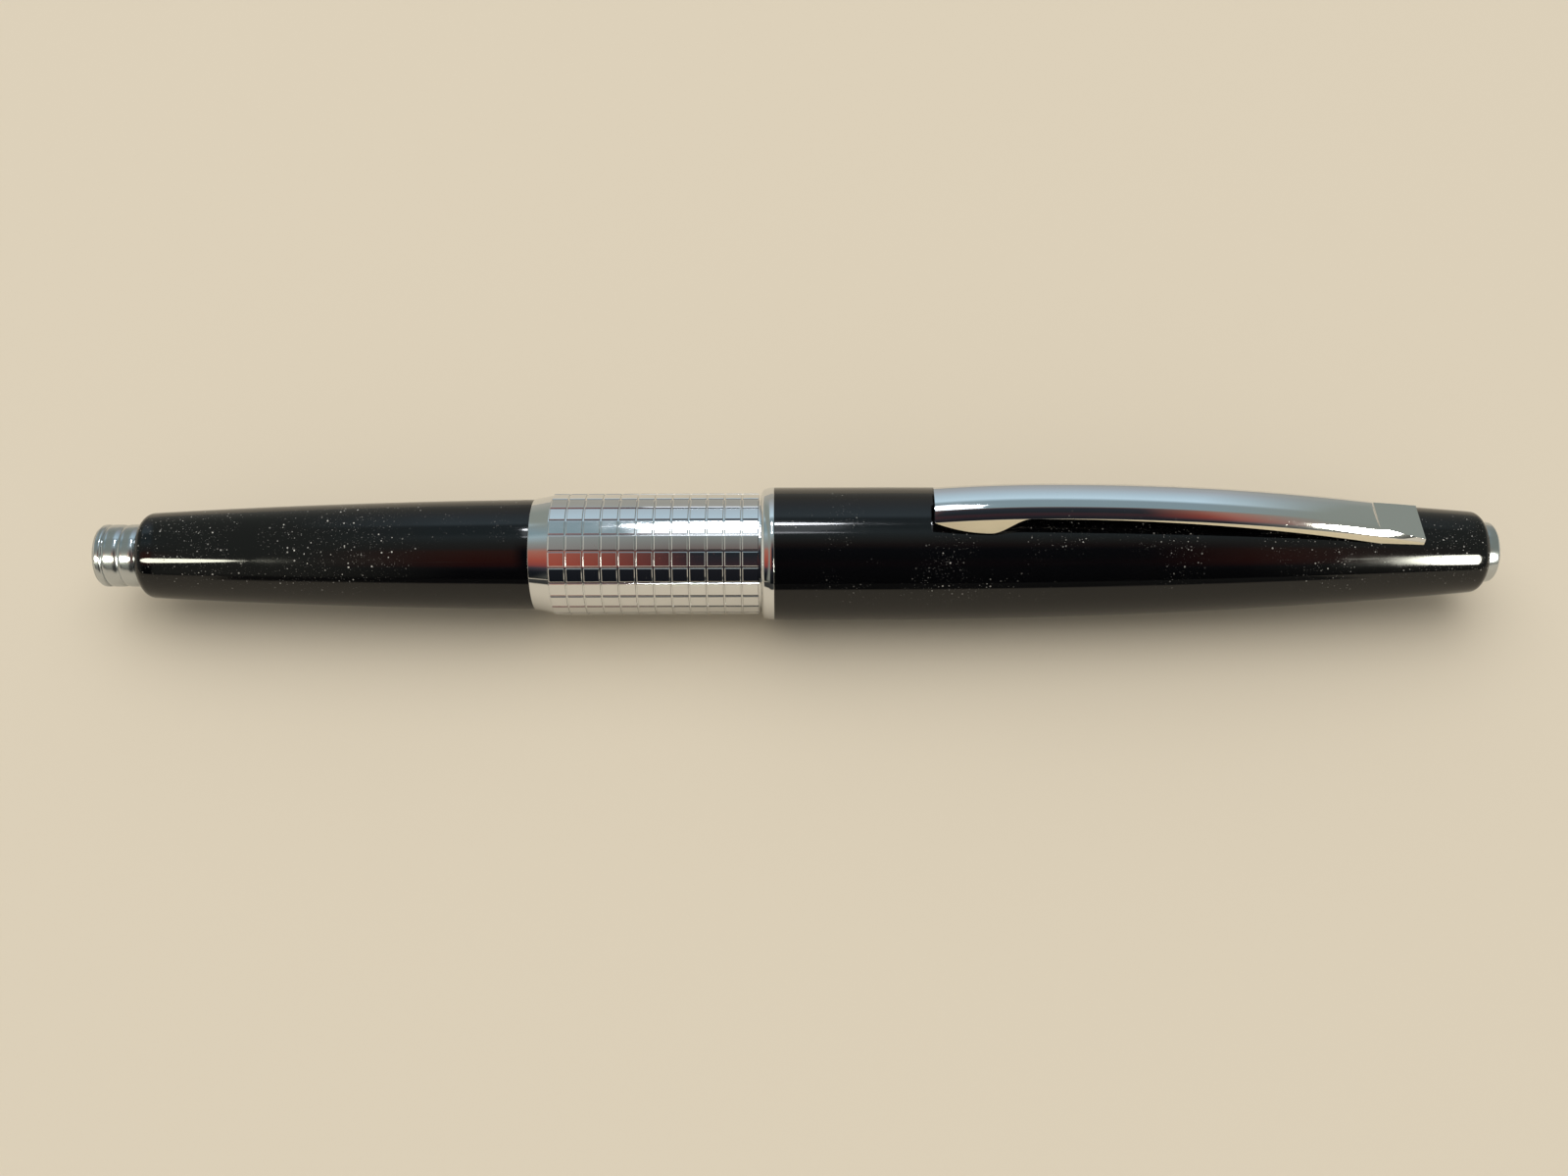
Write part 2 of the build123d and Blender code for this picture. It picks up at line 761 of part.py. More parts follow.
def clip_flat():
    """What the flat at the clip's root takes away: a short slope down, then a plane to the end."""
    slope_start = x_facet - clip_facet_slope
    outline = Polyline(
        (slope_start, clip_top(slope_start)),
        (x_facet, clip_top(x_facet) - clip_facet_start_depth),
        (x_clip_root, clip_top(x_clip_root) - clip_facet_end_depth),
        (x_clip_root + cut, clip_top(x_clip_root) - clip_facet_end_depth),
        (x_clip_root + cut, clip_top(x_facet) + cut),
        (slope_start, clip_top(x_facet) + cut),
        close=True,
    )
    return extrude(Plane.XZ * make_face(outline), clip_width, both=True)


def clip():
    """Pressed spring clip: an arched strip with rolled edges, a flat that widens to its root, and a hook."""
    body = clip_strip(0, x_clip_root + cut) - clip_strip(clip_thickness, x_facet)
    body &= clip_trim()
    spread = Polyline(
        (x_facet, clip_facet_start_width / 2),
        (x_clip_root, clip_facet_end_width / 2),
        (x_clip_root, -clip_facet_end_width / 2),
        (x_facet, -clip_facet_start_width / 2),
        close=True,
    )
    body += extrude(make_face(spread), clip_top(x_facet))
    body -= cap_form(clip_seat_gap)
    body -= clip_flat()
    hook_top = math.sqrt(rear_bore**2 - (tongue_width / 2) ** 2) - hook_gap
    hook_floor = hook_top - hook_thickness
    tongue_top = cap_outside(x_tongue) + 3 * clip_seat_gap
    tongue_base = (Align.MAX, Align.CENTER, Align.MIN)
    tongue = Box(clip_thickness, tongue_width, tongue_top - hook_floor, align=tongue_base)
    hook = Box(clip_thickness + hook_length, tongue_width, hook_thickness, align=tongue_base)
    return body + Pos(x_tongue, 0, hook_floor) * (tongue + hook)


pieces = {
    "rear_barrel": rear_barrel,
    "push_button": push_button,
    "eraser": eraser,
    "eraser_holder": eraser_holder,
    "lead_tube": lead_tube,
    "centre_band": centre_band,
    "neck": neck,
    "snap_ring": snap_ring,
    "front_section": front_section,
    "mechanism_housing": mechanism_housing,
    "tip_cone": tip_cone,
    "sleeve_carrier": sleeve_carrier,
    "lead_retainer": lead_retainer,
    "lead_sleeve": lead_sleeve,
    "chuck": chuck,
    "clutch_ring": clutch_ring,
    "chuck_spring": chuck_spring,
    "writing_lead": writing_lead,
    "spare_leads": spare_leads,
    "cap_shell": cap_shell,
    "cap_mouth_ring": cap_mouth_ring,
    "cap_liner": cap_liner,
    "plunger_guide": plunger_guide,
    "cap_spring": cap_spring,
    "cap_plunger": cap_plunger,
    "cap_button": cap_button,
    "clip": clip,
}

os.makedirs("parts", exist_ok=True)
for name, make in pieces.items():
    export_step(Pos(0, 0, axis_height) * make(), f"parts/{name}.step")
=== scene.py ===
import math

import bmesh
import bpy
from mathutils import Euler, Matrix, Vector


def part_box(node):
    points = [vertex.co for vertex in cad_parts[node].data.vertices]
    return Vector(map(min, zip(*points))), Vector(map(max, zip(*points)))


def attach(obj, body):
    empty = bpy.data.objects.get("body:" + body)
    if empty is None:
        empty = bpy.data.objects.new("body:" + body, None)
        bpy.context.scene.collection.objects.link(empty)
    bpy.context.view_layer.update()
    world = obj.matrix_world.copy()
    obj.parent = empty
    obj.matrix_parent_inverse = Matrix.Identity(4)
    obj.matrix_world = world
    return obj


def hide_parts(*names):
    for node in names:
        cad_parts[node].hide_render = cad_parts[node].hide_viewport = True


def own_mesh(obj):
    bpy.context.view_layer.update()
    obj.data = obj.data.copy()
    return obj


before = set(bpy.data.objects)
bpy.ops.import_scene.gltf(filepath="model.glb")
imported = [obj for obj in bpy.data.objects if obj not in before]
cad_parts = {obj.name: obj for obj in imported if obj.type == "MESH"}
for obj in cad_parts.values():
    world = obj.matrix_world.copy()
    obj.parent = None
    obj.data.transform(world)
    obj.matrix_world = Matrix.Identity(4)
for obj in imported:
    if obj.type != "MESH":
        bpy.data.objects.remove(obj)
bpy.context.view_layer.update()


# ---- Rear barrel ----
# Black moulded barrel, polished in the tool. It swells slightly along its taper, is rounded where the
# push button comes out, and its tenon is pressed into the chrome band.

mm = 0.001
shell_low, shell_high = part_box("cap_shell")
axis_z = (shell_low.z + shell_high.z) / 2
steps_around = 144
rounding_steps = 5
weld = 0.0005 * mm

# In millimetres: an eased edge, and the clearances of pieces that slide and of pieces pressed or screwed in
edge = 0.04
slide = 0.06
fit = 0.02


def span(node):
    """Where a CAD node starts and ends along the pencil, and its radius, in millimetres."""
    low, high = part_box(node)
    return low.x / mm, high.x / mm, (high.y - low.y) / 2 / mm


def link_piece(name, bm, sharp_degrees=40):
    """Makes an object of a bmesh, smooth but for its sharp edges."""
    bmesh.ops.remove_doubles(bm, verts=bm.verts, dist=weld)
    bmesh.ops.recalc_face_normals(bm, faces=bm.faces)
    for face in bm.faces:
        face.smooth = True
    for rim in bm.edges:
        rim.smooth = rim.calc_face_angle(0) < math.radians(sharp_degrees)
    mesh = bpy.data.meshes.new(name)
    bm.to_mesh(mesh)
    bm.free()
    piece = bpy.data.objects.new(name, mesh)
    bpy.context.scene.collection.objects.link(piece)
    weighted = piece.modifiers.new("weighted normals", "WEIGHTED_NORMAL")
    weighted.keep_sharp = True
    return piece


def turn(bm, outline, closed=True, steps=steps_around):
    """Turns an outline of (station, radius, corner rounding) in millimetres about the pencil's axis."""
    corners = [bm.verts.new((x * mm, 0, axis_z + radius * mm)) for x, radius, rounding in outline]
    lines = list(zip(corners, corners[1:]))
    if closed:
        lines.append((corners[-1], corners[0]))
    wire = [*corners, *(bm.edges.new(pair) for pair in lines)]
    for corner, (x, radius, rounding) in zip(corners, outline):
        if rounding:
            rounded = bmesh.ops.bevel(
                bm,
                geom=[corner],
                offset=rounding * mm,
                offset_type="OFFSET",
                segments=rounding_steps,
                profile=0.5,
                affect="VERTICES",
                material=-1,
            )
            wire += rounded["verts"] + rounded["edges"]

    # Rounding puts new corners and lines in the place of others, so the outline is gathered again
    wire = [part for part in wire if part.is_valid]
    wire += [line for corner in wire if isinstance(corner, bmesh.types.BMVert) for line in corner.link_edges]
    bmesh.ops.spin(
        bm,
        geom=list(dict.fromkeys(wire)),
        cent=(0, 0, axis_z),
        axis=(1, 0, 0),
        angle=math.tau,
        steps=steps,
        use_merge=True,
    )


def turned(name, outline, closed=True):
    """A piece of its own, turned from one outline."""
    bm = bmesh.new()
    turn(bm, outline, closed)
    return link_piece(name, bm)


def bow(start, end, steps, radius_at):
    """Corners along a long gentle bow, whose radius a formula gives."""
    stations = [start + (end - start) * i / steps for i in range(steps + 1)]
    return [(x, radius_at(x), 0) for x in stations]


barrel_start, tenon_end, barrel_front_radius = span("rear_barrel")
collar_start = span("centre_band")[0]
button_start, button_end, button_radius = span("push_button")
barrel_swell = 0.205
barrel_lip = 0.91
barrel_rounding = 0.85
guide_bore = button_radius + slide + fit
guide_rounding = 0.1
guide_length = 7.0
barrel_rear_radius = guide_bore + barrel_lip
lead_bore = 3.0
tenon_radius = 4.43


def barrel_outside(x):
    """The barrel's radius: a straight taper, swollen most at its middle."""
    share = (x - barrel_start) / (collar_start - barrel_start)
    straight = barrel_rear_radius + (barrel_front_radius - barrel_rear_radius) * share
    return straight + barrel_swell * 4 * share * (1 - share)


barrel_bow = bow(barrel_start, collar_start, steps=18, radius_at=barrel_outside)
rear_barrel = turned(
    "rear_barrel_moulding",
    [
        (barrel_start, barrel_rear_radius, barrel_rounding),
        *barrel_bow[1:-1],
        (collar_start, barrel_front_radius, edge),
        (collar_start, tenon_radius, 0),
        (tenon_end, tenon_radius, edge),
        (tenon_end, lead_bore, 0),
        (barrel_start + guide_length, lead_bore, 0),
        (barrel_start + guide_length, guide_bore, 0),
        (barrel_start, guide_bore, guide_rounding),
    ],
)
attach(rear_barrel, "pencil")
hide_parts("rear_barrel")


def node(tree, kind, inputs=(), **options):
    """Adds a node, sets its options, and sets or links its inputs."""
    made = tree.nodes.new(kind)
    for option, value in options.items():
        setattr(made, option, value)
    for socket, value in dict(inputs).items():
        if isinstance(value, bpy.types.NodeSocket):
            tree.links.new(value, made.inputs[socket])
        else:
            made.inputs[socket].default_value = value
    return made


def ramp(tree, value, low, high, to_low=0.0, to_high=1.0):
    """A value taken from one range to another, and held at its ends."""
    inputs = {"Value": value, "From Min": low, "From Max": high, "To Min": to_low, "To Max": to_high}
    return node(tree, "ShaderNodeMapRange", inputs).outputs["Result"]


def product(tree, first, second):
    """Two values multiplied."""
    return node(tree, "ShaderNodeMath", {0: first, 1: second}, operation="MULTIPLY").outputs[0]


def effect_group(name, inputs, outputs):
    """A shader node group with named float inputs and outputs."""
    tree = bpy.data.node_groups.new(name, "ShaderNodeTree")
    for label, value in inputs.items():
        socket = tree.interface.new_socket(name=label, in_out="INPUT", socket_type="NodeSocketFloat")
        socket.default_value = value
    for label in outputs:
        tree.interface.new_socket(name=label, in_out="OUTPUT", socket_type="NodeSocketFloat")
    return tree, tree.nodes.new("NodeGroupInput").outputs, tree.nodes.new("NodeGroupOutput").inputs


def settled_dust():
    """Fine pale specks of uneven size, in drifts on what faces up. Cells is how many fit in a metre."""
    tree, given, result = effect_group("settled_dust", {"Cells": 3400.0, "Amount": 1.0}, ["Specks"])
    coordinates = node(tree, "ShaderNodeTexCoord").outputs
    cells = node(tree, "ShaderNodeTexVoronoi", {"Vector": coordinates["Object"], "Scale": given["Cells"]})
    chance = node(tree, "ShaderNodeSeparateColor", {"Color": cells.outputs["Color"]})
    size = ramp(tree, chance.outputs["Red"], 0.35, 1.0, 0.0, 0.3)
    nearness = node(tree, "ShaderNodeMath", {0: size, 1: cells.outputs["Distance"]}, operation="SUBTRACT")
    speck = ramp(tree, nearness.outputs[0], 0.0, 0.06)
    strength = ramp(tree, chance.outputs["Green"], 0.3, 1.0, 0.15, 1.0)
    drift = node(tree, "ShaderNodeTexNoise", {"Vector": coordinates["Object"], "Scale": 140.0, "Detail": 4.0})
    thick = ramp(tree, drift.outputs["Fac"], 0.42, 0.58)
    facing = node(tree, "ShaderNodeSeparateXYZ", {0: coordinates["Normal"]})
    settled = ramp(tree, facing.outputs["Z"], 0.0, 0.6)
    shown = product(tree, product(tree, speck, strength), product(tree, thick, settled))
    tree.links.new(product(tree, shown, given["Amount"]), result["Specks"])
    return tree


def handling_marks():
    """Faint smears from fingers, and hairline rubs along the pencil."""
    tree, given, result = effect_group("handling_marks", {"Smear Scale": 160.0}, ["Smears", "Rubs"])
    place = node(tree, "ShaderNodeTexCoord").outputs["Object"]
    inputs = {"Vector": place, "Scale": given["Smear Scale"], "Detail": 5.0, "Roughness": 0.6}
    smear = node(tree, "ShaderNodeTexNoise", inputs)
    tree.links.new(ramp(tree, smear.outputs["Fac"], 0.4, 0.75), result["Smears"])
    stretched = node(tree, "ShaderNodeMapping", {"Vector": place, "Scale": (60.0, 2400.0, 2400.0)})
    inputs = {"Vector": stretched.outputs["Vector"], "Scale": 1.0, "Detail": 2.0}
    rubs = node(tree, "ShaderNodeTexNoise", inputs)
    tree.links.new(ramp(tree, rubs.outputs["Fac"], 0.62, 0.74), result["Rubs"])
    return tree


dust_effect = settled_dust()
marks_effect = handling_marks()


dust_colour = (0.62, 0.6, 0.55, 1)
fine_cells = 9000.0
shade_depth = 0.93
ripple_height = 0.01 * mm


def worn_finish(name, colour, roughness, metallic=0.0, dust=0.0, smear=0.1, rub=0.1, ripple=0.0, gloss=0.5):
    """A smooth finish with dust, finger smears, hairline rubs and the faint ripple of a polished surface."""
    material = bpy.data.materials.new(name)
    material.use_nodes = True
    tree = material.node_tree
    shader = tree.nodes["Principled BSDF"]
    shader.inputs["Metallic"].default_value = metallic
    shader.inputs["Specular IOR Level"].default_value = gloss
    marks = node(tree, "ShaderNodeGroup", node_tree=marks_effect)
    coarse = node(tree, "ShaderNodeGroup", {"Amount": dust}, node_tree=dust_effect)
    fine = node(tree, "ShaderNodeGroup", {"Cells": fine_cells, "Amount": dust / 2}, node_tree=dust_effect)
    both = {0: coarse.outputs["Specks"], 1: fine.outputs["Specks"]}
    specks = node(tree, "ShaderNodeMath", both, operation="MAXIMUM").outputs[0]
    place = node(tree, "ShaderNodeTexCoord").outputs["Object"]
    shade = node(tree, "ShaderNodeTexNoise", {"Vector": place, "Scale": 90.0, "Detail": 3.0})
    deep = [part * shade_depth for part in colour]
    inputs = {0: shade.outputs["Fac"], 6: (*deep, 1), 7: (*colour, 1)}
    body = node(tree, "ShaderNodeMix", inputs, data_type="RGBA")
    inputs = {0: specks, 6: body.outputs[2], 7: dust_colour}
    dusty = node(tree, "ShaderNodeMix", inputs, data_type="RGBA")
    tree.links.new(dusty.outputs[2], shader.inputs["Base Color"])
    smeared = ramp(tree, marks.outputs["Smears"], 0.0, 1.0, roughness, roughness + smear)
    inputs = {0: marks.outputs["Rubs"], 1: rub, 2: smeared}
    rubbed = node(tree, "ShaderNodeMath", inputs, operation="MULTIPLY_ADD")
    rough = node(tree, "ShaderNodeMath", {0: specks, 1: rubbed.outputs[0]}, operation="MAXIMUM")
    tree.links.new(rough.outputs[0], shader.inputs["Roughness"])
    if ripple:
        waves = node(tree, "ShaderNodeTexNoise", {"Vector": place, "Scale": 220.0, "Detail": 1.0})
        inputs = {"Height": waves.outputs["Fac"], "Distance": ripple_height, "Strength": ripple}
        bump = node(tree, "ShaderNodeBump", inputs)
        tree.links.new(bump.outputs["Normal"], shader.inputs["Normal"])
    return material


gloss_black = worn_finish(
    "gloss_black_plastic", (0.002, 0.002, 0.0025), 0.05, dust=1.0, smear=0.08, rub=0.06, gloss=0.42
)
rear_barrel.data.materials.append(gloss_black)


# ---- Push button ----
# Thin cap drawn from sheet metal and chromed. Three low rounded ridges are rolled into what shows of it,
# and its plain skirt slides in the barrel.

button_bevel = 0.2
ridges = 3
first_ridge_end = 0.82
ridge_pitch = 1.45
ridge_height = 0.13
ridge_squareness = 4.5
ridge_steps = 12
ridge_groove = button_radius - ridge_height
button_wall = 0.3
button_floor = 0.6
button_floor_rounding = 0.2


def ridge(start, end):
    """Corners over one ridge, nearly flat on top and rounded off into a groove at each end."""
    half = (end - start) / 2
    points = []
    for i in range(1, ridge_steps + 1):
        along = -1 + 2 * i / ridge_steps
        rise = ridge_height * (1 - abs(along) ** ridge_squareness)
        points.append((start + half * (1 + along), ridge_groove + rise, 0))
    return points


button_outline = [
    (button_start, 0, 0),
    (button_start, ridge_groove - button_bevel, 0),
    (button_start + button_bevel / 3, ridge_groove - button_bevel / 3, 0),
    (button_start + button_bevel, ridge_groove, 0),
]
ridge_start = button_start + button_bevel
for i in range(ridges):
    ridge_end = button_start + first_ridge_end + i * ridge_pitch
    button_outline += ridge(ridge_start, ridge_end)
    ridge_start = ridge_end
button_outline += [
    (ridge_start + ridge_height, button_radius, 0),
    (button_end, button_radius, edge),
    (button_end, button_radius - button_wall, 0),
    (button_start + button_floor, button_radius - button_wall, button_floor_rounding),
    (button_start + button_floor, 0, 0),
]
push_button = turned("push_button_cap", button_outline, closed=False)
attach(push_button, "button")
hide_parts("push_button")
chrome = worn_finish(
    "chrome_plate", (0.74, 0.75, 0.76), 0.035, metallic=1.0, dust=0.25, smear=0.05, rub=0.05, ripple=0.25
)
dull_chrome = worn_finish(
    "dulled_chrome_plate", (0.52, 0.55, 0.57), 0.17, metallic=1.0, dust=0.3, smear=0.08, rub=0.1, ripple=0.25
)
push_button.data.materials.append(dull_chrome)


# ---- Checkered band ----
# Chromed brass tube. Ring grooves and long grooves are cut in it, which leave rows of raised square cells
# with bevelled edges, and a plain conical collar meets the barrel.

band_start, band_end = span("centre_band")[:2]
collar_length = 1.75
collar_rear_radius = 4.95
collar_front_radius = 5.3
collar_rounding = 0.03
checker_start = band_start + collar_length
cells_along = 12
cells_around = 24
half_step = math.pi / cells_around
cell_slices = 3
cell_crown_radius = 14
cell_pitch = (band_end - checker_start) / cells_along
row_turn = -3
band_bore = 4.45
floor_below_collar = 0.02
floor_radius = collar_front_radius - floor_below_collar
under_floor_radius = floor_radius - 0.05

# How far in and how far up each step goes from a cell's grooves: its wall, its bevel and its soft shoulder
groove_half = 0.05
cell_facets = ((0.01, 0.07), (0.02, 0.035), (0.045, 0.03))


def checkered_cell(bm):
    """One raised cell on top of the band, nearly flat, with half of each groove all round it."""
    half_width = floor_radius * math.tan(half_step)
    half_crown = math.asin(half_width / cell_crown_radius)
    crown_centre = floor_radius - cell_crown_radius * math.cos(half_crown)
    rim = [
        bm.verts.new((x * mm, -half_width * mm, axis_z + floor_radius * mm))
        for x in (checker_start, checker_start + cell_pitch)
    ]
    bmesh.ops.spin(
        bm,
        geom=[*rim, bm.edges.new(rim)],
        cent=(0, 0, axis_z + crown_centre * mm),
        axis=(-1, 0, 0),
        angle=2 * half_crown,
        steps=cell_slices,
    )
    bmesh.ops.recalc_face_normals(bm, faces=bm.faces)
    if sum(face.normal.z for face in bm.faces) < 0:
        bmesh.ops.reverse_faces(bm, faces=bm.faces)
    top = bm.faces[:]
    for width, height in ((groove_half, 0), *cell_facets):
        bmesh.ops.inset_region(
            bm, faces=top, thickness=width * mm, depth=height * mm, use_boundary=True, use_even_offset=True
        )


band = bmesh.new()
checkered_cell(band)
one_cell = band.verts[:] + band.edges[:] + band.faces[:]
cell_corners = len(band.verts)
for i in range(1, cells_along):
    bmesh.ops.duplicate(band, geom=one_cell)
    bmesh.ops.translate(band, verts=band.verts[-cell_corners:], vec=(i * cell_pitch * mm, 0, 0))
bmesh.ops.spin(
    band,
    geom=band.verts[:] + band.edges[:] + band.faces[:],
    cent=(0, 0, axis_z),
    axis=(1, 0, 0),
    angle=2 * half_step * (cells_around - 1),
    steps=cells_around - 1,
    use_duplicate=True,
)
bmesh.ops.remove_doubles(band, verts=band.verts, dist=weld)
turn(
    band,
    [
        (checker_start, under_floor_radius, 0),
        (checker_start, collar_front_radius, collar_rounding),
        (band_start, collar_rear_radius, edge),
        (band_start, band_bore, 0),
        (band_end, band_bore, 0),
        (band_end, under_floor_radius, 0),
    ],
    closed=False,
    steps=cells_around * cell_slices,
)
near = 0.01 * mm
open_rims = [rim for rim in band.edges if rim.is_boundary]
for end in (checker_start, band_end):
    here = [rim for rim in open_rims if abs(rim.verts[0].co.x - end * mm) < near]
    bmesh.ops.bridge_loops(band, edges=here)
bmesh.ops.rotate(
    band,
    verts=band.verts,
    cent=(0, 0, axis_z),
    matrix=Euler((math.radians(row_turn), 0, 0)).to_matrix(),
)
centre_band = link_piece("checkered_band", band, 12)
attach(centre_band, "pencil")
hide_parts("centre_band")
centre_band.data.materials.append(chrome)


# ---- Neck and snap ring ----
# Turned and chromed bush in the band's front. The cap slides over it, and a split ring of spring steel in
# its groove drags on the cap's liner. Both show when the cap is off.

neck_start, neck_end = span("neck")[:2]
ring_start, ring_end, ring_radius = span("snap_ring")
ring_stands_out = 0.18
ring_height = 0.36
ring_room = 0.05
ring_groove = ring_radius - ring_height - fit
neck_radius = ring_radius - ring_stands_out
neck_wall = 0.93
neck_bore = neck_radius - neck_wall
neck_thread = 8.05
neck_rounding = 0.15
neck = turned(
    "neck_bush",
    [
        (neck_start, lead_bore, 0),
        (neck_start, band_bore - fit, edge),
        (band_end, band_bore - fit, 0),
        (band_end, neck_radius, 0),
        (ring_start - ring_room, neck_radius, edge),
        (ring_start - ring_room, ring_groove, 0),
        (ring_end + ring_room, ring_groove, 0),
        (ring_end + ring_room, neck_radius, edge),
        (neck_end, neck_radius, neck_rounding),
        (neck_end, neck_bore, 0),
        (neck_end - neck_thread, neck_bore, 0),
        (neck_end - neck_thread, lead_bore, 0),
    ],
)
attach(neck, "pencil")
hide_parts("neck")
neck.data.materials.append(chrome)


def carry_over(finish, *names):
    """Gives CAD nodes that keep their own mesh the finish of the real pieces."""
    for name in names:
        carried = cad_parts[name].data
        carried.materials.clear()
        carried.materials.append(finish)


spring_steel = worn_finish("spring_steel_wire", (0.46, 0.46, 0.47), 0.22, metallic=1.0, smear=0.15, rub=0.3)
carry_over(spring_steel, "snap_ring")


# ---- Grip section and tip ----
# Black moulded grip with fine rings near its front, screwed into the neck, and a turned and chromed cone that
# is screwed into the grip. Both show when the cap is off.

grip_start = neck_end
thread_start, grip_end, grip_radius = span("front_section")
grip_tip_radius = 3.3
grip_swell = 0.12
grip_rounding = 0.1
grip_bore = 2.4
grip_rings = 7
grip_ring_pitch = 1.25
last_ring_from_tip = 2.0
plain_before_rings = 1.0
ring_cut_half = 0.25
ring_cut_depth = 0.12


def grip_outside(x):
    """The grip's radius: a straight taper, swollen most at its middle."""
    share = (x - grip_start) / (grip_end - grip_start)
    straight = grip_radius + (grip_tip_radius - grip_radius) * share
    return straight + grip_swell * 4 * share * (1 - share)


first_ring = grip_end - last_ring_from_tip - (grip_rings - 1) * grip_ring_pitch
plain_bow = bow(grip_start, first_ring - plain_before_rings, steps=10, radius_at=grip_outside)
grip_outline = [(grip_start, grip_radius, grip_rounding), *plain_bow[1:]]
for i in range(grip_rings):
    middle = first_ring + i * grip_ring_pitch
    rim = grip_outside(middle)
    grip_outline += [
        (middle - ring_cut_half, rim, edge),
        (middle, rim - ring_cut_depth, edge),
        (middle + ring_cut_half, rim, edge),
    ]
grip_outline += [
    (grip_end, grip_tip_radius, edge),
    (grip_end, grip_bore, 0),
    (thread_start, grip_bore, 0),
    (thread_start, neck_bore - fit, 0),
    (grip_start, neck_bore - fit, 0),
]
grip = turned("grip_moulding", grip_outline)
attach(grip, "pencil")
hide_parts("front_section")
grip.data.materials.append(gloss_black)
carry_over(chrome, "tip_cone")


# ---- Feed, leads and eraser ----
# A brass collet in its clutch ring, drawn back in a plastic housing, with a plastic tube behind it that holds
# the spare leads. A soft eraser in a plastic cup plugs the tube, under the push button.

grey_plastic = worn_finish("grey_moulded_plastic", (0.17, 0.17, 0.18), 0.4, smear=0.15, rub=0.1)
turned_brass = worn_finish("turned_brass", (0.62, 0.42, 0.17), 0.18, metallic=1.0, smear=0.12, rub=0.25)
white_eraser = worn_finish("soft_white_eraser", (0.78, 0.78, 0.75), 0.75, smear=0.1, rub=0.1)
graphite = worn_finish("polymer_graphite", (0.035, 0.035, 0.038), 0.38, smear=0.2, rub=0.2)
carry_over(grey_plastic, "mechanism_housing", "lead_tube", "eraser_holder")
carry_over(turned_brass, "chuck", "clutch_ring")
carry_over(white_eraser, "eraser")
carry_over(graphite, "writing_lead", "spare_leads")


# ---- Lead sleeve ----
# A thin steel tube pressed into a brass slide, which slips back into the tip as the lead wears. A rubber ring
# in the slide keeps the lead from falling back.

black_rubber = worn_finish("soft_black_rubber", (0.02, 0.02, 0.02), 0.7, smear=0.1)
carry_over(spring_steel, "lead_sleeve")
carry_over(turned_brass, "sleeve_carrier")
carry_over(black_rubber, "lead_retainer")


# ---- Cap's mouth ring ----
# Turned brass ring, chromed. It flares out from the mouth to the shell's own size, and its sleeve is pressed
# into the shell.

mouth_start, mouth_sleeve_end, cap_radius = span("cap_mouth_ring")
shell_start, shell_end = span("cap_shell")[:2]
liner_bore = 5.03
mouth_step = 0.435
mouth_lip = 0.22
mouth_flare = 0.6
mouth_flare_rise = 0.16
mouth_roundings = (0.06, 0.08, 0.12)
shell_wall = 0.635
shell_bore = cap_radius - shell_wall
mouth_ring = turned(
    "cap_mouth_ring_plated",
    [
        (mouth_start, liner_bore, edge),
        (mouth_start, cap_radius - mouth_step, mouth_roundings[0]),
        (mouth_start + mouth_lip, cap_radius - mouth_flare_rise, mouth_roundings[1]),
        (mouth_start + mouth_lip + mouth_flare, cap_radius, mouth_roundings[2]),
        (shell_start, cap_radius, edge),
        (shell_start, shell_bore - fit, 0),
        (mouth_sleeve_end, shell_bore - fit, 0),
        (mouth_sleeve_end, liner_bore, 0),
    ],
)
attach(mouth_ring, "cap")
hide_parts("cap_mouth_ring")
mouth_ring.data.materials.append(chrome)


# ---- Cap shell ----
# Black moulded shell that tapers in one long bow to its rounded end, polished like the barrel. A web near the
# end, with a hole for the plunger's stem, divides the button's opening from the bore.

shell_straight = 8.7
taper_start = shell_start + shell_straight
cap_button_start, cap_button_end, cap_button_radius = span("cap_button")
opening_radius = cap_button_radius + slide
opening_depth = 2.6
shell_end_lip = 0.77
shell_end_radius = opening_radius + shell_end_lip
shell_end_rounding = 0.75
opening_floor = shell_end - opening_depth
web_thickness = 2.3
web_start = opening_floor - web_thickness
stem_bore = 2.16
plunger_bore = 3.45
middle_bore = 4.65
middle_start = 18.1
middle_end = 33.48


def shell_outside(x):
    """The shell's radius: straight at the mouth, then falling ever faster to the end."""
    share = max(0, x - taper_start) / (shell_end - taper_start)
    return cap_radius - (cap_radius - shell_end_radius) * share**2


cap_shell = turned(
    "cap_shell_moulding",
    [
        (shell_start, shell_bore, 0),
        (shell_start, cap_radius, edge),
        *bow(taper_start, shell_end, steps=40, radius_at=shell_outside)[:-1],
        (shell_end, shell_end_radius, shell_end_rounding),
        (shell_end, opening_radius, edge),
        (opening_floor, opening_radius, 0),
        (opening_floor, stem_bore, 0),
        (web_start, stem_bore, 0),
        (web_start, plunger_bore, 0),
        (middle_end, plunger_bore, 0),
        (middle_end, middle_bore, 0),
        (middle_start, middle_bore, 0),
        (middle_start, shell_bore, 0),
    ],
)
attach(cap_shell, "cap")
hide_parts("cap_shell")
cap_shell.data.materials.append(gloss_black)


# ---- Liner, guide and plunger ----
# A nickel-plated sleeve behind the mouth ring, which the snap ring rubs on, and a plastic guide pressed into
# the bore. The hollow plastic plunger slides in the guide and reaches down to the tip.

nickel_tube = worn_finish("nickel_plated_tube", (0.55, 0.53, 0.49), 0.16, metallic=1.0, smear=0.1, rub=0.2)
carry_over(nickel_tube, "cap_liner")
carry_over(grey_plastic, "plunger_guide", "cap_plunger")


# ---- Cap button ----
# Button turned from brass and chromed, with a shallow dish in its face. It is pressed on the plunger's stem
# and slides in the opening at the end of the cap.

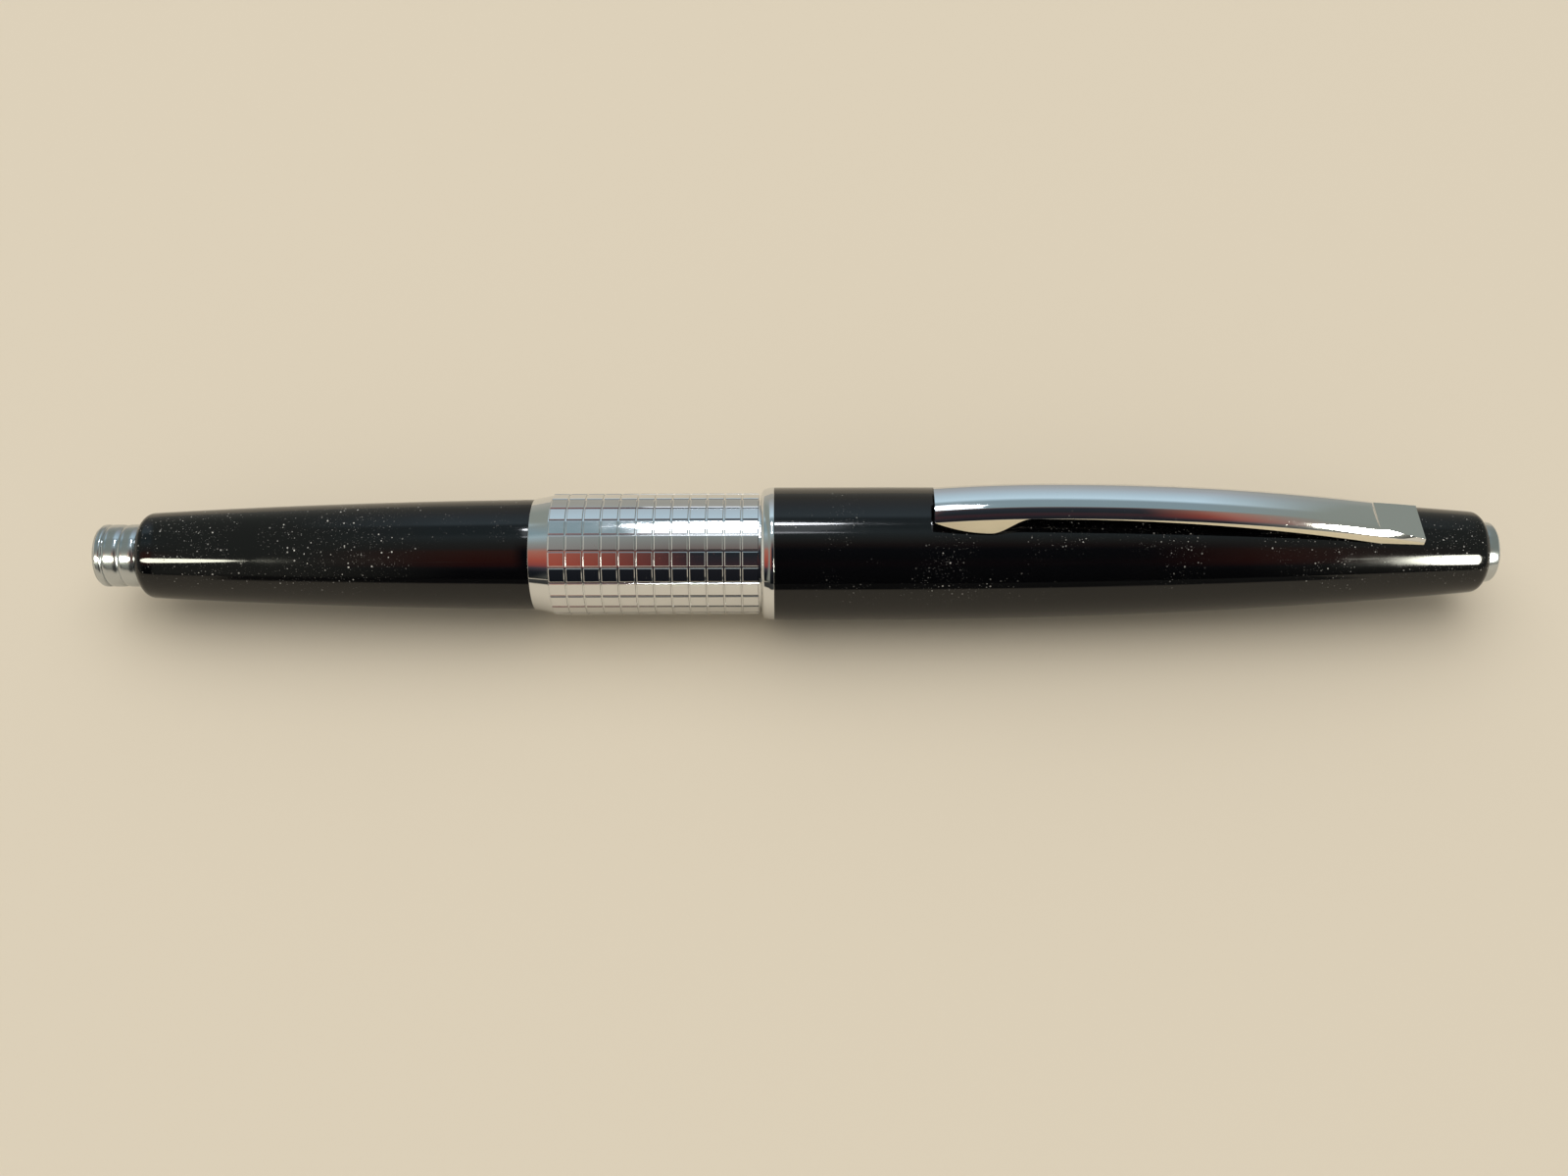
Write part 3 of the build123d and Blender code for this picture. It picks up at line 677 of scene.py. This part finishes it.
dish = 0.12
dish_radius = cap_button_radius - 0.6
dish_roundings = (0.05, 0.03)
button_taper = 0.09
button_face_rounding = 0.25
cap_button = turned(
    "cap_button_turned",
    [
        (cap_button_end - dish, 0, 0),
        (cap_button_end - dish, dish_radius, dish_roundings[0]),
        (cap_button_end, dish_radius, dish_roundings[1]),
        (cap_button_end, cap_button_radius - button_taper, button_face_rounding),
        (shell_end, cap_button_radius, 0),
        (cap_button_start, cap_button_radius, 0),
        (cap_button_start, 0, 0),
    ],
    closed=False,
)
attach(cap_button, "cap_plunger")
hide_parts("cap_button")
cap_button.data.materials.append(dull_chrome)


# ---- Pocket clip ----
# Spring strip pressed into an arch with turned-down edges and chromed. A lobe near its free end grips the
# pocket, and a flat is coined at its root, where a hook holds it in the shell.

clip_low, clip_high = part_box("clip")
clip_free = clip_low.x / mm
clip_root = clip_high.x / mm
clip_top_z = (clip_high.z - axis_z) / mm
clip_half = (clip_high.y - clip_low.y) / 2 / mm
clip_thickness = 0.5
seat_gap = 0.04

# The crest line: how far it stands from the root, falls to the free end and lies above the shell at the root
crest_from_root = 33.0
clip_crest = clip_root - crest_from_root
free_drop = 0.52
root_rise = 0.685
root_top_z = shell_outside(clip_root) + root_rise

# The side walls: how deep they are, and the lobe behind the free end, which nearly touches the shell
edge_depth = 0.89
root_edge_depth = 1.75
lobe_low = clip_free + 4.92
lobe_end = clip_free + 8.2
lobe_clearance = 0.2

# The flat at the root: the slope down to it, its depth at each end and how much wider it gets
flat_length = 4.15
flat_start = clip_root - flat_length
flat_slope = 0.37
flat_depths = (0.3, 0.495)
flat_spread = 0.23

# Half of the clip's section is a crown, a hard bend, a flatter flank and a small lip, as arcs that each
# reach an angle from upright
crown_radius, crown_end = 4.75, math.radians(14.5)
bend_radius, bend_end = 0.12, math.radians(32)
flank_end = math.radians(55)
lip_radius, lip_end = 0.2, math.radians(80)
flank_width = clip_half - crown_radius * math.sin(crown_end)
flank_width -= bend_radius * (math.sin(bend_end) - math.sin(crown_end))
flank_width -= lip_radius * (math.sin(lip_end) - math.sin(flank_end))
flank_radius = flank_width / (math.sin(flank_end) - math.sin(bend_end))
clip_arcs = (
    (crown_radius, crown_end),
    (bend_radius, bend_end),
    (flank_radius, flank_end),
    (lip_radius, lip_end),
)

# Rows down each half of the section, at which its stretches begin: the flat, the crown's shoulder, the bend,
# the flank, the lip and the wall. The last is where the wall ends
clip_row_stops = (0, 6, 10, 13, 21, 25, 30)
clip_rows = 2 * clip_row_stops[-1]

# Columns along the clip: the bowed strip, the slope down to the flat, and the flat
strip_columns = 140
slope_columns = 3
flat_columns = 16
strip_end = flat_start - flat_slope
columns = [clip_free + (strip_end - clip_free) * i / strip_columns for i in range(strip_columns)]
columns += [strip_end + flat_slope * i / slope_columns for i in range(slope_columns)]
columns += [flat_start + flat_length * i / flat_columns for i in range(flat_columns + 1)]
halvings = 30


def arc_drop(distance, length, drop):
    """How far a circular bow has fallen at a distance from its crest."""
    radius = (length**2 + drop**2) / (2 * drop)
    return radius - math.sqrt(radius**2 - distance**2)


def clip_top(x):
    """Height of the clip's crest line above the pencil's axis."""
    if x < clip_crest:
        return clip_top_z - arc_drop(clip_crest - x, clip_crest - clip_free, free_drop)
    return clip_top_z - arc_drop(x - clip_crest, clip_root - clip_crest, clip_top_z - root_top_z)


def flat_depth(x):
    """How far the flat at the root lies below the crest line: a short slope, then a plane."""
    if x <= flat_start:
        return max(0, flat_depths[0] * (x - flat_start + flat_slope) / flat_slope)
    start_z = clip_top(flat_start) - flat_depths[0]
    end_z = root_top_z - flat_depths[1]
    return clip_top(x) - start_z - (end_z - start_z) * (x - flat_start) / (clip_root - flat_start)


def ease(value):
    """Goes from 0 to 1 with a soft start and a soft end."""
    value = min(1, max(0, value))
    return value * value * (3 - 2 * value)


def seat_z(x, y):
    """Height just above the shell."""
    return math.sqrt((shell_outside(x) + seat_gap) ** 2 - y**2)


def clip_lower(x):
    """Height of the side's lower edge: a round lobe at the free end, then a shallow bow to the shell."""
    lobe_z = seat_z(lobe_end, clip_half) + lobe_clearance
    bow_z = clip_top_z - edge_depth
    free_z = clip_top(clip_free) - edge_depth
    if x < lobe_low:
        lower = lobe_z + (free_z - lobe_z) * ((lobe_low - x) / (lobe_low - clip_free)) ** 2
    elif x < lobe_end:
        lower = lobe_z + (bow_z - lobe_z) * ease((x - lobe_low) / (lobe_end - lobe_low))
    else:
        lower = bow_z - arc_drop(x - lobe_end, clip_root - lobe_end, bow_z - root_top_z + root_edge_depth)
    return max(lower, seat_z(x, clip_half))


def section_point(angle):
    """How far out and down the section has come where it leans by an angle."""
    out = down = start = 0
    for radius, end in clip_arcs:
        reached = max(start, min(angle, end))
        out += radius * (math.sin(reached) - math.sin(start))
        down += radius * (math.cos(start) - math.cos(reached))
        start = end
    return out, down


def section_angle(depth):
    """The lean at which the section has come down by a depth."""
    low, high = 0, lip_end
    for i in range(halvings):
        middle = (low + high) / 2
        low, high = (middle, high) if section_point(middle)[1] < depth else (low, middle)
    return low


def clip_point(x, share, inset):
    """A point of the section: 0 is the crest, 1 the lower edge of a side. The inset gives the underside."""
    top = clip_top(x)
    cut = flat_depth(x)
    lowest = top - clip_lower(x)
    last_angle = section_angle(lowest)
    flat_angle = section_angle(cut) if cut else crown_end / 2
    leans = [min(last_angle, max(flat_angle, lean)) for lean in (0, crown_end, bend_end, flank_end, lip_end)]
    leans = [0, flat_angle, *leans[1:], last_angle]
    rows = share * clip_rows / 2
    reached = max(i for i, first in enumerate(clip_row_stops) if rows >= first - 0.01)
    angle, along = last_angle, 0
    if reached < len(clip_row_stops) - 1:
        along = (rows - clip_row_stops[reached]) / (clip_row_stops[reached + 1] - clip_row_stops[reached])
        angle = leans[reached] + (leans[reached + 1] - leans[reached]) * along
    out, down = section_point(angle)
    flat_out = section_point(flat_angle)[0]
    spread = flat_out + flat_spread * max(0, x - flat_start) / (clip_root - flat_start)
    if reached == 0:
        out = spread * along if cut else out
    else:
        out = spread + (out - flat_out) * (clip_half - spread) / (clip_half - flat_out)
    down = max(down, cut)
    wall = (rows - clip_row_stops[-2]) / (clip_row_stops[-1] - clip_row_stops[-2])
    if wall > 0:
        out += (lowest - down) * wall / math.tan(lip_end)
        down += (lowest - down) * wall
    if inset:
        out *= (clip_half - inset) / clip_half
        return out, max(top - down - inset * (1 - max(0, wall)), seat_z(x, out))
    return out, top - down


clip_mesh = bmesh.new()
# The outer faces of the side walls get a second finish: satin metal tinted beige, a painted reflection of the
# pale floor
tinted_wall_corners = set()
for inset in (0, clip_thickness):
    sheet = bmesh.ops.create_grid(clip_mesh, x_segments=len(columns) - 1, y_segments=clip_rows, size=1)
    for corner in sheet["verts"]:
        x = columns[round((corner.co.x + 1) / 2 * (len(columns) - 1))]
        if not inset and abs(corner.co.y) * clip_rows / 2 > clip_row_stops[-2] - 0.5:
            tinted_wall_corners.add(corner)
        y, z = clip_point(x, abs(corner.co.y), inset)
        corner.co = (x * mm, math.copysign(y, corner.co.y) * mm, axis_z + z * mm)
bmesh.ops.bridge_loops(clip_mesh, edges=[rim for rim in clip_mesh.edges if rim.is_boundary])
for face in clip_mesh.faces:
    if tinted_wall_corners.issuperset(face.verts):
        face.material_index = 1
clip = link_piece("pocket_clip", clip_mesh, 18)
eased = clip.modifiers.new("eased edges", "BEVEL")
eased.width = 0.05 * mm
eased.segments = 3
eased.limit_method = "ANGLE"
eased.angle_limit = math.radians(60)
eased.harden_normals = True
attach(clip, "clip")
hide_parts("clip")
clip.data.materials.append(chrome)
# Satin metal on the side walls, whose pale beige is a painted reflection of the floor
wall_reflection_tint = worn_finish("satin_wall_painted_floor_reflection", (0.92, 0.86, 0.7), 0.32, metallic=1.0, dust=0.1, smear=0.1, rub=0.1)
clip.data.materials.append(wall_reflection_tint)


# ---- Springs ----
# Two open coils of fine steel wire. One stands on the housing's flange and draws the chuck back, the other
# stands on the plunger's guide.

sprung = (("chuck_spring", "pencil", "feed_click"), ("cap_spring", "cap", "cap_button_slide"))
for name, body, joint in sprung:
    coil = bmesh.new()
    coil.from_mesh(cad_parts[name].data)
    spring = link_piece(f"{name}_coil", coil)
    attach(spring, body)
    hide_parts(name)
    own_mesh(spring)
    spring.data.materials.append(spring_steel)


# ---- Floor ----
# A plain pale floor. Its front part is painted dark for reflections alone, from a line some way ahead of the
# pencil on, and between two slanting lines near the pencil's ends: a painted dark reflection, while the
# camera sees the floor evenly pale.

floor_colour = (0.66, 0.575, 0.45, 1)
painted_reflection_colour = (0.01, 0.01, 0.01, 1)
dark_from, dark_full = -0.04, -0.047
dark_side_from, dark_side_full = 0.052, 0.047
dark_side_slant = 0.45

floor_mesh = bmesh.new()
bmesh.ops.create_circle(floor_mesh, cap_ends=True, segments=64, radius=3)
floor = link_piece("floor", floor_mesh)
floor.modifiers.clear()
pale = bpy.data.materials.new("pale_floor")
pale.use_nodes = True
ground = pale.node_tree
floor_shader = ground.nodes["Principled BSDF"]
floor_shader.inputs["Roughness"].default_value = 0.9
place = node(ground, "ShaderNodeTexCoord").outputs["Object"]
place = node(ground, "ShaderNodeSeparateXYZ", {0: place}).outputs
in_front = ramp(ground, place["Y"], dark_from, dark_full)
aside = node(ground, "ShaderNodeMath", {0: place["X"]}, operation="ABSOLUTE").outputs[0]
inputs = {0: place["Y"], 1: dark_side_slant, 2: aside}
aside = node(ground, "ShaderNodeMath", inputs, operation="MULTIPLY_ADD").outputs[0]
painted_reflection_mask = product(ground, in_front, ramp(ground, aside, dark_side_from, dark_side_full))
# The painted dark reflection: near black only where reflections see the floor's front part
in_reflections = node(ground, "ShaderNodeLightPath").outputs["Is Glossy Ray"]
inputs = {0: product(ground, painted_reflection_mask, in_reflections), 6: floor_colour, 7: painted_reflection_colour}
seen_floor = node(ground, "ShaderNodeMix", inputs, data_type="RGBA").outputs[2]
ground.links.new(seen_floor, floor_shader.inputs["Base Color"])
floor.data.materials.append(pale)


# ---- Room ----
# The walls and ceiling that the chrome and the polished plastic mirror: bright overhead, red and then dark in
# front, darker at the middle, pale beside, with a window past each end. Soft light, and what is seen past the
# floor, are one plain colour each.

# Colours by the angle in degrees from straight up towards the front
behind_and_over = (
    (-180, (0.40, 0.36, 0.30)),
    (-95, (0.50, 0.48, 0.42)),
    (-75, (0.42, 0.41, 0.36)),
    (-58, (0.47, 0.51, 0.54)),
    (-42, (0.56, 0.71, 0.80)),
    (-31, (0.66, 0.86, 0.97)),
    (-25, (0.28, 0.37, 0.41)),
    (-8, (0.27, 0.37, 0.40)),
    (0, (0.39, 0.50, 0.53)),
)
below_front = (
    (92, (0.004, 0.005, 0.006)),
    (180, (0.02, 0.02, 0.02)),
)
room_ahead = (
    *behind_and_over,
    (14, (0.31, 0.33, 0.31)),
    (24, (0.29, 0.25, 0.23)),
    (31, (0.45, 0.17, 0.12)),
    (50, (0.42, 0.09, 0.06)),
    (60, (0.30, 0.07, 0.06)),
    (66, (0.06, 0.05, 0.06)),
    (74, (0.012, 0.014, 0.018)),
    *below_front,
)
room_middle = (
    *behind_and_over,
    (14, (0.26, 0.27, 0.25)),
    (22, (0.16, 0.11, 0.10)),
    (30, (0.03, 0.035, 0.045)),
    (44, (0.02, 0.025, 0.03)),
    (54, (0.05, 0.025, 0.03)),
    (64, (0.02, 0.02, 0.025)),
    *below_front,
)
room_beside = (
    (-180, (0.40, 0.36, 0.30)),
    (-95, (0.50, 0.48, 0.42)),
    (-60, (0.31, 0.34, 0.30)),
    (20, (0.30, 0.33, 0.29)),
    (60, (0.28, 0.29, 0.25)),
    (84, (0.26, 0.26, 0.22)),
    (92, (0.06, 0.06, 0.05)),
    (180, (0.02, 0.02, 0.02)),
)

# Where the walls beside and the darker middle show, by how far a direction points along the pencil
off, on = (0, 0, 0), (1, 1, 1)
beside_stops = (
    (-1, on),
    (-0.66, on),
    (-0.57, off),
    (-0.5, off),
    (-0.46, on),
    (-0.36, on),
    (-0.24, off),
    (0.38, off),
    (0.55, on),
    (1, on),
)
middle_stops = (
    (-1, off),
    (-0.15, off),
    (-0.06, on),
    (0.3, on),
    (0.42, off),
    (1, off),
)
windows_from, windows_full = 0.86, 0.94
window_colour = (0.85, 0.82, 0.7, 1)
soft_light_colour = (0.62, 0.62, 0.59, 1)
backdrop_colour = (0.74, 0.7, 0.6, 1)

world = bpy.data.worlds.new("room")
bpy.context.scene.world = world
world.use_nodes = True
room = world.node_tree
direction = node(room, "ShaderNodeTexCoord").outputs["Generated"]
direction = node(room, "ShaderNodeSeparateXYZ", {0: direction}).outputs
forward = product(room, direction["Y"], -1.0)
lean = node(room, "ShaderNodeMath", {0: forward, 1: direction["Z"]}, operation="ARCTAN2").outputs[0]
lean = product(room, lean, math.degrees(1))


def graded(along, stops):
    """Colours that change along a value, set at a few stops from its lowest to its highest."""
    low, high = stops[0][0], stops[-1][0]
    colours = node(room, "ShaderNodeValToRGB", {"Fac": ramp(room, along, low, high)})
    elements = colours.color_ramp.elements
    for value, colour in stops[1:-1]:
        elements.new((value - low) / (high - low))
    for element, (value, colour) in zip(elements, stops):
        element.color = (*colour, 1)
    return colours.outputs["Color"]


def blended(share, first, second):
    """Goes from a first colour to a second with a share from 0 to 1."""
    return node(room, "ShaderNodeMix", {0: share, 6: first, 7: second}, data_type="RGBA").outputs[2]


seen_by = node(room, "ShaderNodeLightPath").outputs
towards_ends = node(room, "ShaderNodeMath", {0: direction["X"]}, operation="ABSOLUTE").outputs[0]
walls = blended(graded(direction["X"], middle_stops), graded(lean, room_ahead), graded(lean, room_middle))
walls = blended(graded(direction["X"], beside_stops), walls, graded(lean, room_beside))
walls = blended(ramp(room, towards_ends, windows_from, windows_full), walls, window_colour)
walls = blended(seen_by["Is Diffuse Ray"], walls, soft_light_colour)
walls = blended(seen_by["Is Camera Ray"], walls, backdrop_colour)
room.links.new(walls, room.nodes["Background"].inputs["Color"])


# ---- Lamps ----
# Two ceiling tubes and a panel over the band's collar, and a soft lamp far out on each side, which show as
# streaks in the chrome and the plastic. A wide ceiling light that nothing mirrors lights the floor.

pencil_middle = Vector((0, 0, axis_z))
cool_white = (0.92, 0.95, 1.0)
over_collar = -0.023


def soft_lamp(name, along, lean, distance, size, radiance, colour):
    """A round-ended soft lamp over a station along the pencil, leaning from upright to the front."""
    tilt = math.radians(lean)
    light = bpy.data.lights.new(name, "AREA")
    light.shape = "ELLIPSE"
    light.size, light.size_y = size
    light.energy = radiance * math.pi * math.pi / 4 * size[0] * size[1]
    light.color = colour
    lamp = bpy.data.objects.new(name, light)
    lamp.location = pencil_middle + Vector((along, -distance * math.sin(tilt), distance * math.cos(tilt)))
    lamp.rotation_euler = (tilt, 0, 0)
    bpy.context.scene.collection.objects.link(lamp)
    return lamp


# Each with its station, lean in degrees, distance, size along and across the pencil, radiance and colour
first_tube = soft_lamp("first ceiling tube", over_collar, -15, 0.6, (0.1, 0.04), 60, cool_white)
second_tube = soft_lamp("second ceiling tube", over_collar, 1, 0.6, (0.1, 0.03), 6, cool_white)
panel = soft_lamp("ceiling panel", over_collar, -9, 0.62, (0.1, 0.26), 1.4, cool_white)
left_lamp = soft_lamp("left lamp", -0.66, 51, 1.0, (0.32, 0.22), 32, (1.0, 0.99, 0.8))
wide_lamp = soft_lamp("left lamp's wide glow", -0.5, 50, 1.0, (0.9, 0.2), 16, (1.0, 0.98, 0.75))
right_lamp = soft_lamp("right lamp", 0.73, 60, 1.0, (0.2, 0.5), 42, (1.0, 0.99, 0.84))
for lamp in (first_tube, second_tube, panel, left_lamp, wide_lamp, right_lamp):
    lamp.visible_diffuse = False

# The left lamp and its wide glow reach only the pieces on which they show
for lamp, pieces in ((left_lamp, (push_button, rear_barrel)), (wide_lamp, (push_button,))):
    lit = bpy.data.collections.new(f"lit by the {lamp.name}")
    for piece in pieces:
        lit.objects.link(piece)
    lamp.light_linking.receiver_collection = lit

fill = soft_lamp("ceiling light, kept out of reflections", -0.2, -12, 1.4, (2.5, 2.5), 1.1, (1.0, 1.0, 1.0))
fill.visible_glossy = False


# ---- Camera ----
# It looks down at the middle of the pencil from the front, from a little further than the pencil is long, and
# is rolled by a hair to one side.

camera_tilt, camera_roll = math.radians(36.03), math.radians(-0.16)
camera = bpy.data.objects.new("camera", bpy.data.cameras.new("camera"))
camera.data.sensor_width = 36
camera.data.lens = 35.73
camera.data.clip_start = 0.005
camera.location = (-1.06 * mm, -84.5 * mm, 116.9 * mm)
turned_down = Euler((camera_tilt, 0, 0)).to_matrix() @ Euler((0, 0, camera_roll)).to_matrix()
camera.rotation_euler = turned_down.to_euler()
bpy.context.scene.collection.objects.link(camera)
bpy.context.scene.camera = camera
bpy.context.scene.view_settings.view_transform = "Standard"
